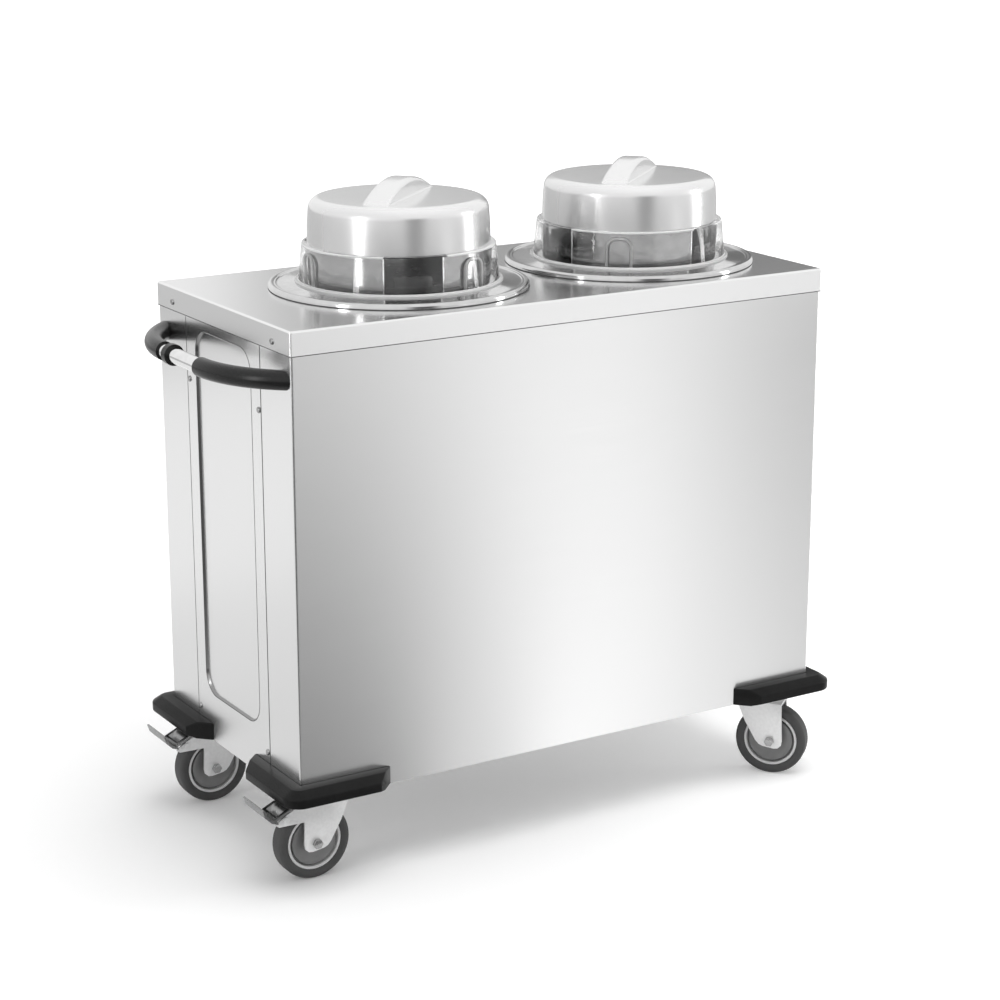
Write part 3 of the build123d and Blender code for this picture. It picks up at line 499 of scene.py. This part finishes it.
# dark line painted as the shadow in the fold round the pressed pocket
PANEL_FACE_X = 498.5                               # from the cabinet's middle
POCKET_Y, POCKET_Z0, POCKET_Z1, POCKET_R = 100.0, 232.0, 846.0, 38.0
LINE_OUT, LINE_WIDTH, LINE_DEEP = 0.8, 1.1, 0.4
shadow_ring_line("pocket_fold_shadow", (SHIFT_X - PANEL_FACE_X - LINE_DEEP / 2, 0, (POCKET_Z0 + POCKET_Z1) / 2),
          (POCKET_Z1 - POCKET_Z0 + 2 * LINE_OUT, 2 * (POCKET_Y + LINE_OUT)), LINE_WIDTH,
          (LINE_DEEP, 0, 0), turn=(0, pi / 2, 0), corner=POCKET_R + LINE_OUT)

# ------------------------------------------------------------------ dispenser flanges
FLANGE_TOP = 909.5
flange_rings = ([(149.5, 907.7), (149.5, FLANGE_TOP), (171.5, FLANGE_TOP), (173.0, 908.6), (194.0, 908.2),
                 (196.0, 907.4), (198.5, 907.4), (200.0, 908.6)]
                + bend((206.5, 904.0), 5.5, 130, 0) + [(212.0, 900.0), (210.4, 900.0)]
                + bend((206.5, 904.0), 3.9, 0, 130, 6)
                + [(200.5, 907.0), (198.5, 905.9), (196.0, 905.9), (194.0, 906.6), (173.0, 907.0),
                   (171.5, 907.7), (149.5, 907.7)])
flange_master = turned("flange_master", flange_rings, BODY_SIDES)

# dark ring painted as the shadow where the flange meets the worktop
seam_shadow_rings = [(210.8, 900.05), (212.15, 900.05), (212.15, 901.4), (210.8, 901.4), (210.8, 900.05)]
seam_shadow_master = turned("seam_shadow_master", seam_shadow_rings, BODY_SIDES)

# bright bars for the ground edges of the guide segments, two beside each window
GUIDE_R, GUIDE_Z0, GUIDE_Z1 = 148.9, 909.6, 969.4
EDGE_DEEP, EDGE_WIDTH, EDGE_ROUND = 2.2, 2.4, 0.9
WINDOWS = 3
WINDOW_STEP = 360 / WINDOWS
WINDOW_TURN = {"left": 10.0, "right": 58.0}      # one window's angle from +X
WINDOW_HALF = 18.0
let_go()
bpy.ops.mesh.primitive_cube_add(size=1, location=(GUIDE_R * MM, 0, (GUIDE_Z0 + GUIDE_Z1) / 2 * MM))
edge_master = named(bpy.context.object, "edge_master")
edge_master.scale = (EDGE_DEEP * MM, EDGE_WIDTH * MM, (GUIDE_Z1 - GUIDE_Z0) * MM)
settle(edge_master)
round_edges(edge_master, EDGE_ROUND)
close_up(edge_master)

# ------------------------------------------------------------------ lids
STEP_Z, LID_TOP, SHOULDER_R = 972.5, 1046.0, 19.5
DOME_R0, DOME_R1, WALL = 148.5, 145.8, 2.0
shoulder_at = (DOME_R1 - SHOULDER_R + 0.2, LID_TOP - SHOULDER_R)
dome_rings = ([(DOME_R0 - WALL, STEP_Z + 0.1), (DOME_R0, STEP_Z + 0.1), (DOME_R0 - 0.7, STEP_Z + 30)]
              + bend(shoulder_at, SHOULDER_R, 2, 90, 14) + [(60, LID_TOP), (0, LID_TOP)])
dome_inside = ([(0, LID_TOP - WALL), (60, LID_TOP - WALL)]
               + bend(shoulder_at, SHOULDER_R - WALL, 90, 2, 10)
               + [(DOME_R0 - WALL, STEP_Z + 0.1)])
dome_master = turned("dome_master", dome_rings + dome_inside, BODY_SIDES)

skirt_rings = ([(161.0, 909.5), (169.0, 909.5)] + bend((167.0, 912.0), 2.0, 0, 90, 5)
               + [(164.6, 914.1), (163.3, 915.2), (162.8, 917.5)]
               + bend((155.3, 970.3), 2.2, 5, 90, 5) + [(DOME_R0, STEP_Z), (DOME_R0 - WALL, 971.3)]
               + [(146.5, 970.6), (154.8, 970.5), (155.6, 969.0), (161.0, 914.0), (161.0, 909.5)])
skirt_master = turned("skirt_master", skirt_rings, BODY_SIDES)

RIB_HALF, RIB_HEIGHT, RIB_TURN = 112.0, 29.6, 42.0
RIB_SINK = 0.4                     # how far its foot stands in the dome
RIB_END = 0.010                    # share of its height that is left at its ends
RIB_ROWS = 48
ROW_REACH = 0.2                    # points nearer than this to a row are of that row
RIB_SECTION = ([(26.0, 0.0), (24.0, 0.3), (22.8, 1.3), (22.1, 3.2), (21.8, 7.0), (21.5, 14.0)]
               + bend((13.5, RIB_HEIGHT - 8.0), 8.0, 0, 90, 7) + [(9.0, RIB_HEIGHT), (4.5, RIB_HEIGHT)])
RIB_OUTLINE = RIB_SECTION + [(0.0, RIB_HEIGHT)] + [(-y, z) for y, z in reversed(RIB_SECTION)]
RIB_COLUMNS = len(RIB_OUTLINE) - 1


def rib_arch(u):
    """Height share along the rib, from its middle (0) to its end (1)."""
    span, rise = RIB_HALF, RIB_HEIGHT
    r = (span ** 2 + rise ** 2) / (2 * rise)
    height = (sqrt(max(r * r - (u * span) ** 2, 0)) - (r - rise)) / rise
    return max(height, 0) + RIB_END


def move_points(piece, members, by=None, scale=None):
    """Moves the points whose numbers are in members, or scales their height."""
    pick(piece)
    bpy.ops.object.mode_set(mode="EDIT")
    bpy.ops.mesh.select_mode(type="VERT")
    bpy.ops.mesh.select_all(action="DESELECT")
    bpy.ops.object.mode_set(mode="OBJECT")
    for point in piece.data.vertices:
        point.select = point.index in members
    bpy.ops.object.mode_set(mode="EDIT")
    if by is not None:
        bpy.ops.transform.translate(value=by)
    if scale is not None:
        bpy.ops.transform.resize(value=(1, 1, scale), center_override=(0, 0, 0))
    bpy.ops.object.mode_set(mode="OBJECT")


def rib(name):
    """Arched grip rib: a grid drawn into a section column by column, then scaled row by row."""
    let_go()
    bpy.ops.mesh.primitive_grid_add(x_subdivisions=RIB_ROWS, y_subdivisions=RIB_COLUMNS, size=2,
                                    location=(0, 0, 0))
    piece = named(bpy.context.object, name)
    piece.scale = (RIB_HALF * MM, RIB_COLUMNS / 2 * MM, MM)
    settle(piece)
    places = [point.co.copy() for point in piece.data.vertices]
    for i, (y, z) in enumerate(RIB_OUTLINE):
        start = (i - RIB_COLUMNS / 2) * MM
        members = {n for n, p in enumerate(places) if abs(p.y - start) < ROW_REACH * MM}
        move_points(piece, members, by=(0, y * MM - start, z * MM))
    for i in range(RIB_ROWS + 1):
        u = -1 + 2 * i / RIB_ROWS
        members = {n for n, p in enumerate(places) if abs(p.x - u * RIB_HALF * MM) < ROW_REACH * MM}
        move_points(piece, members, scale=rib_arch(abs(u)))
    pick(piece)
    bpy.ops.object.mode_set(mode="EDIT")
    bpy.ops.mesh.select_all(action="SELECT")
    bpy.ops.mesh.normals_make_consistent(inside=False)
    bpy.ops.object.mode_set(mode="OBJECT")
    bpy.ops.object.shade_smooth_by_angle(angle=radians(RIB_SMOOTH_ANGLE))
    return piece


rib_master = rib("rib_master")

FOOT_TOP, SHOULDER_LOW = 914.8, 969.2      # below and above these the skirt isn't clear: it is whiter there as painted highlight


def over_window(spot, side):
    """True where a place on the skirt stands before a window between the guide segments."""
    turn = degrees(atan2(spot.y, spot.x - (DISPENSER_X[side] + SHIFT_X) * MM)) - WINDOW_TURN[side]
    off = abs((turn + WINDOW_STEP / 2) % WINDOW_STEP - WINDOW_STEP / 2)
    return off < WINDOW_HALF + 1


def is_frosted_highlight(spot, side):
    """True for the skirt's foot, and for its shoulder beside the windows, where it is whiter as painted
    highlight.
    """
    return spot.z < FOOT_TOP * MM or spot.z > SHOULDER_LOW * MM and not over_window(spot, side)


for side, x in DISPENSER_X.items():
    cx = x + SHIFT_X
    flange = put(copied(flange_master, side + "_flange_rim"), (cx, 0, 0))
    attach(flange, "cart")
    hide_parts(side + "_dispenser_flange")
    dress(flange, flange_steel_shaded)
    # dark ring of painted shadow under the flange's rim
    seam = put(copied(seam_shadow_master, side + "_flange_seam_shadow"), (cx, 0, 0))
    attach(seam, "cart")
    dress(seam, painted_shadow_finish)
    for i in range(WINDOWS):
        for j, way in enumerate((-1, 1)):
            turn = WINDOW_TURN[side] + WINDOW_STEP * i + way * (WINDOW_HALF + 0.5)
            edge = copied(edge_master, f"{side}_window_edge_{2 * i + j + 1}")
            put(edge, (cx, 0, 0), (0, 0, radians(turn)))
            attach(edge, "cart")
            dress(edge, polished)
    dome = put(copied(dome_master, side + "_lid_dome"), (cx, 0, 0))
    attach(dome, side + "_lid")
    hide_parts(side + "_lid")
    dress(dome, pearl)
    skirt = put(copied(skirt_master, side + "_lid_skirt"), (cx, 0, 0))
    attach(skirt, side + "_lid")
    dress(skirt, clear)
    # the foot and the shoulder beside the windows take the painted highlight finish
    skirt.data.materials.append(frosted_highlight)
    select_faces(skirt, lambda centre, _: is_frosted_highlight(centre, side))
    skirt.active_material_index = 1
    bpy.ops.object.material_slot_assign()
    bpy.ops.object.mode_set(mode="OBJECT")
    grip = copied(rib_master, side + "_lid_grip")
    put(grip, (cx, 0, LID_TOP - RIB_SINK), (0, 0, radians(RIB_TURN)))
    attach(grip, side + "_lid")
    dress(grip, pearl)

# ------------------------------------------------------------------ wheels
tyre_rings = ([(47.1, -13.0), (50.5, -14.6), (53.0, -15.7), (56.0, -16.0)]
              + bend((56.0, -9.5), 6.5, -90, 0, 6) + bend((56.0, 9.5), 6.5, 0, 90, 6)
              + [(53.0, 15.7), (50.5, 14.6), (47.1, 13.0), (47.1, -13.0)])
tyre_master = turned("tyre_master", tyre_rings, WHEEL_SIDES)
ring_rings = ([(42.6, -9.0), (42.6, -12.4), (43.6, -13.4), (46.0, -13.4), (47.0, -12.6), (47.0, 12.6),
               (46.0, 13.4), (43.6, 13.4), (42.6, 12.4), (42.6, 9.0), (42.6, -9.0)])
ring_master = turned("ring_master", ring_rings, WHEEL_SIDES)
hub_rings = ([(5.05, -19.2), (13.6, -19.2), (14.6, -18.2), (15.4, -12.0), (18.0, -9.2), (28.0, -9.4),
              (37.5, -11.6), (38.6, -11.2), (39.4, -6.0), (42.5, -5.4), (42.5, 5.4), (39.4, 6.0),
              (38.6, 11.2), (37.5, 11.6), (28.0, 9.4), (18.0, 9.2), (15.4, 12.0), (14.6, 18.2),
              (13.6, 19.2), (5.05, 19.2), (5.05, -19.2)])
hub_master = turned("hub_master", hub_rings, WHEEL_SIDES)
for caster, (x, y, heading) in CASTERS.items():
    trailing = radians(heading)
    middle = (x + SHIFT_X + TRAIL * cos(trailing), y + TRAIL * sin(trailing), WHEEL_Z)
    for part, master, finish, slot, node in (
            ("tread", tyre_master, tyre_grey, "tyre_rubber", "_tyre"),
            ("rim_ring", ring_master, ring_grey, "wheel_centre", None),
            ("wheel_disc", hub_master, hub_grey, "wheel_centre", "_hub")):
        piece = copied(master, f"{caster}_{part}")
        put(piece, (0, 0, 0), (pi / 2, 0, 0))
        put(piece, middle, (0, 0, trailing))
        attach(piece, caster + "_wheel")
        if node:
            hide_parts(caster + node)
        dress(piece, finish)

# ------------------------------------------------------------------ brake pedals
TREAD_FACING = Vector((-15.5, 0, 34.0)).normalized()
TREAD_LOW = 117.0                  # the pedal's tread lies above this
SAME_WAY = 0.995                   # how closely its faces face alike
FIELD_INSET, FIELD_DEEP = 3.5, 1.0
PAD_INSET, PAD_RISE = 3.0, 0.9
for caster in BRAKED:
    pedal = softened(caster + "_brake_pedal")
    dress(pedal, pedal_zinc)
    pedal.data.materials.append(dark_zinc)
    select_faces(pedal, lambda centre, normal: normal.dot(TREAD_FACING) > SAME_WAY
                 and centre.z > TREAD_LOW * MM)
    bpy.ops.mesh.inset(thickness=FIELD_INSET * MM)
    bpy.ops.mesh.extrude_region_shrink_fatten(TRANSFORM_OT_shrink_fatten={"value": -FIELD_DEEP * MM})
    pedal.active_material_index = 1
    bpy.ops.object.material_slot_assign()
    bpy.ops.mesh.inset(thickness=PAD_INSET * MM)
    bpy.ops.mesh.extrude_region_shrink_fatten(TRANSFORM_OT_shrink_fatten={"value": PAD_RISE * MM})
    pedal.active_material_index = 0
    bpy.ops.object.material_slot_assign()
    bpy.ops.object.mode_set(mode="OBJECT")

for master in (flange_master, seam_shadow_master, edge_master, dome_master, skirt_master, rib_master,
               tyre_master, ring_master, hub_master):
    bpy.data.objects.remove(master)


# ------------------------------------------------------------------ floor, cards and light
LAMP_X, LAMP_Y, LAMP_Z = 0.3, -0.4, 3.6    # the overhead lamp; the floor's glow starts under it
CARD_Z = 0.004                             # floor cards lie just above the floor
CORNER_CARD_Z = 0.006
UPRIGHT = (radians(90), 0, 0)
COLOUR_A, COLOUR_B, COLOUR_OUT = 6, 7, 2   # a colour Mix node's sockets


def stage_plate(name, place, size, turn=(0, 0, 0)):
    """Flat plate that is part of the studio, in metres."""
    let_go()
    bpy.ops.mesh.primitive_plane_add(size=1, location=place, rotation=turn)
    plate = named(bpy.context.object, name)
    plate.scale = (size[0], size[1], 1)
    return plate


def grey_ramp(nodes, links, source, stops, curve="EASE"):
    """Grey along a value, through (position, grey) stops."""
    ramp = nodes.new("ShaderNodeValToRGB")
    ramp.color_ramp.interpolation = curve
    while len(ramp.color_ramp.elements) < len(stops):
        ramp.color_ramp.elements.new(0.5)
    for element, (position, value) in zip(ramp.color_ramp.elements, stops):
        element.position = position
        element.color = (value, value, value, 1)
    links.new(source, ramp.inputs["Fac"])
    return ramp.outputs["Color"]


def ray_white(nodes, links):
    """1 for camera, glossy and transmission rays, otherwise 0."""
    rays = nodes.new("ShaderNodeLightPath").outputs
    seen = calculate(nodes, links, "MAXIMUM", rays["Is Camera Ray"], rays["Is Glossy Ray"])
    return calculate(nodes, links, "MAXIMUM", seen, rays["Is Transmission Ray"])


MIRRORED_GLOW = 0.10                       # what the floor adds in reflections
GLOW_REACH = 8.0                           # metres from under the lamp to where the glow is full
GLOW_STEPS = [(0.0, 0.05), (0.125, 0.12), (0.25, 0.27), (0.375, 0.38), (0.5, 0.45), (0.75, 0.51),
              (1.0, 0.54)]
FILL_START, FILL_END, FILL_GLOW = -0.2, 0.9, 0.30      # lifts the shadow towards the far end

floor = settle(stage_plate("floor", (0, 0, 0), (80, 80)))
floor_finish = bpy.data.materials.new("pale_floor")
floor_finish.use_nodes = True
nodes, links = floor_finish.node_tree.nodes, floor_finish.node_tree.links
matt = nodes["Principled BSDF"]
matt.inputs["Base Color"].default_value = (0.88, 0.88, 0.88, 1)
matt.inputs["Roughness"].default_value = 0.9
matt.inputs["Specular IOR Level"].default_value = 0.0
apart = nodes.new("ShaderNodeVectorMath")
apart.operation = "DISTANCE"
apart.inputs[1].default_value = (LAMP_X, LAMP_Y, 0.0)
links.new(nodes.new("ShaderNodeTexCoord").outputs["Object"], apart.inputs[0])
outwards = calculate(nodes, links, "DIVIDE", apart.outputs["Value"], GLOW_REACH)
near_glow = grey_ramp(nodes, links, outwards, GLOW_STEPS, "LINEAR")
fill = nodes.new("ShaderNodeMapRange")
fill.interpolation_type = "SMOOTHSTEP"
fill.inputs["From Min"].default_value = FILL_START
fill.inputs["From Max"].default_value = FILL_END
fill.inputs["To Max"].default_value = FILL_GLOW
links.new(along_axes(nodes, links)["X"], fill.inputs["Value"])
seen_glow = calculate(nodes, links, "ADD", near_glow, fill.outputs["Result"])
rays = nodes.new("ShaderNodeLightPath").outputs
seen = calculate(nodes, links, "MAXIMUM", rays["Is Camera Ray"], rays["Is Transmission Ray"])
glow = nodes.new("ShaderNodeEmission")
links.new(calculate(nodes, links, "ADD", calculate(nodes, links, "MULTIPLY", seen, seen_glow),
                    calculate(nodes, links, "MULTIPLY", rays["Is Glossy Ray"], MIRRORED_GLOW)),
          glow.inputs["Strength"])
both = nodes.new("ShaderNodeAddShader")
links.new(matt.outputs["BSDF"], both.inputs[0])
links.new(glow.outputs["Emission"], both.inputs[1])
links.new(both.outputs["Shader"], nodes["Material Output"].inputs["Surface"])
floor.data.materials.append(floor_finish)


def lit(card, name, strength):
    """Makes a card plain light that only reflections show; returns its nodes, links and colour."""
    card.visible_camera = False
    card.visible_diffuse = False
    card.visible_shadow = False
    card.visible_transmission = False
    finish = bpy.data.materials.new(name + "_shade")
    finish.use_nodes = True
    nodes, links = finish.node_tree.nodes, finish.node_tree.links
    nodes.remove(nodes["Principled BSDF"])
    light = nodes.new("ShaderNodeEmission")
    light.inputs["Strength"].default_value = strength
    links.new(light.outputs["Emission"], nodes["Material Output"].inputs["Surface"])
    card.data.materials.append(finish)
    return nodes, links, light.inputs["Color"]


def shade_card(name, place, size, turn, axis, stops, strength=1.0):
    """Card shaded along one of its own axes, from 0 to 1."""
    card = stage_plate(name, place, size, turn)
    nodes, links, colour = lit(card, name, strength)
    along = calculate(nodes, links, "ADD", along_axes(nodes, links)[axis], 0.5)
    links.new(grey_ramp(nodes, links, along, stops), colour)


MIRRORED_EYE = (-2.0746, 2.96)      # where the long side's reflections fan out from on the floor
FACE_DEPTH = 3.2                    # from there to the long side
FACE_START, FACE_END = 0.50, 0.812  # sideways over away, at the near and the far end of that side
FAN_DEPTH = 3.4                     # from the near shades to the far ones


def fan_card(name, low, high, near_stops, far_stops, strength):
    """Floor card shaded in a fan, with near_stops close to the cart and far_stops away from it."""
    card = stage_plate(name, ((low[0] + high[0]) / 2, (low[1] + high[1]) / 2, CARD_Z),
                       (high[0] - low[0], high[1] - low[1]))
    settle(card)
    nodes, links, colour = lit(card, name, strength)
    place = along_axes(nodes, links)
    across = calculate(nodes, links, "SUBTRACT", place["X"], MIRRORED_EYE[0])
    away = calculate(nodes, links, "SUBTRACT", MIRRORED_EYE[1], place["Y"])
    fan = calculate(nodes, links, "DIVIDE", across, away)
    along = calculate(nodes, links, "DIVIDE", calculate(nodes, links, "SUBTRACT", fan, FACE_START),
                      FACE_END - FACE_START)
    outwards = calculate(nodes, links, "DIVIDE",
                         calculate(nodes, links, "SUBTRACT", away, FACE_DEPTH), FAN_DEPTH)
    blend = nodes.new("ShaderNodeMix")
    blend.data_type = "RGBA"
    links.new(outwards, blend.inputs["Factor"])
    links.new(grey_ramp(nodes, links, along, near_stops), blend.inputs[COLOUR_A])
    links.new(grey_ramp(nodes, links, along, far_stops), blend.inputs[COLOUR_B])
    links.new(blend.outputs[COLOUR_OUT], colour)


# on the floor before the long side
fan_card("front_floor_card", (-1.2, -5.0), (5.0, -0.34),
         [(0.0, 0.215), (0.12, 0.27), (0.32, 0.66), (0.50, 1.0), (0.85, 0.82), (1.0, 0.69)],
         [(0.0, 0.50), (0.18, 0.66), (0.40, 1.0), (0.65, 1.0), (0.85, 0.52), (1.0, 0.29)], 1.14)
# far out on the floor, for the worktop's front edge
shade_card("far_floor_card", (4.2, -8.6, CARD_Z), (5.0, 7.2), (0, 0, 0), "X",
           [(0.0, 0.36), (0.2, 0.42), (0.5, 0.70), (0.79, 1.0), (1.0, 1.0)], 1.5)
# behind the cart, grey towards the right, for the worktop
shade_card("back_card", (2.7, 3.9, 1.3), (4.2, 2.6), UPRIGHT, "X",
           [(0.0, 1.0), (0.14, 0.90), (0.26, 0.52), (0.45, 0.36), (0.70, 0.20), (1.0, 0.20)])
# floor at the back left, for the handle end
shade_card("left_floor_card", (-2.58, 2.6, CARD_Z), (4.04, 6.0), (0, 0, 0), "Y",
           [(0.0, 0.72), (0.13, 0.76), (0.22, 0.80), (0.32, 0.93), (0.58, 0.95), (0.70, 0.58), (1.0, 0.40)])
# floor at the front left, for the near corner
shade_card("corner_floor_card", (-2.95, -2.7, CORNER_CARD_Z), (4.1, 4.6), (0, 0, 0), "X",
           [(0.0, 0.12), (1.0, 0.12)])
# behind the camera, for the middle of the lids
shade_card("camera_side_card", (-1.0, -5.6, 1.25), (3.3, 2.5), UPRIGHT, "X",
           [(0.0, 0.80), (0.33, 0.12), (0.67, 0.12), (1.0, 0.80)])


def soft_lamp(name, place, aim, size, power):
    """Rectangular lamp aimed at a point, in metres and watts."""
    let_go()
    bpy.ops.object.light_add(type="AREA", location=place)
    lamp = bpy.context.object
    lamp.name = name
    lamp.data.shape = "RECTANGLE"
    lamp.data.size, lamp.data.size_y = size
    lamp.data.energy = power
    lamp.rotation_euler = (Vector(aim) - Vector(place)).to_track_quat("-Z", "Y").to_euler()
    return lamp


overhead = soft_lamp("overhead_lamp", (LAMP_X, LAMP_Y, LAMP_Z), (0.1, 0, 0.5), (3.2, 3.2), 95)
overhead.visible_glossy = False
soft_lamp("left_strip", (-2.94, -0.61, 1.28), (0, 0, 1.2), (0.36, 1.70), 11)
soft_lamp("right_strip", (2.72, -1.21, 1.05), (0, 0, 1.0), (0.32, 2.1), 12)

WORLD_LEVEL = 0.55                         # its light on the cart; it is white where it is seen
world = bpy.data.worlds.new("studio")
bpy.context.scene.world = world
world.use_nodes = True
nodes, links = world.node_tree.nodes, world.node_tree.links
sky = nodes["Background"]
sky.inputs["Color"].default_value = (1, 1, 1, 1)
level = nodes.new("ShaderNodeMapRange")
level.inputs["To Min"].default_value = WORLD_LEVEL
level.inputs["To Max"].default_value = 1.0
links.new(ray_white(nodes, links), level.inputs["Value"])
links.new(level.outputs["Result"], sky.inputs["Strength"])

# ------------------------------------------------------------------ camera
EYE_X, EYE_Y, EYE_Z = -2.0994, -3.4412, 1.6456     # metres, from the cabinet's middle
LOOK_DOWN, LOOK_RIGHT = 0.2743, 0.5503             # radians
LENS, FILM_WIDTH = 88.6, 36
let_go()
bpy.ops.object.camera_add(location=(EYE_X + SHIFT_X * MM, EYE_Y, EYE_Z),
                          rotation=(pi / 2 - LOOK_DOWN, 0, -LOOK_RIGHT))
camera = bpy.context.object
camera.name = "photo_camera"
camera.data.lens = LENS
camera.data.sensor_width = FILM_WIDTH
bpy.context.scene.camera = camera
bpy.context.scene.view_settings.view_transform = "Standard"
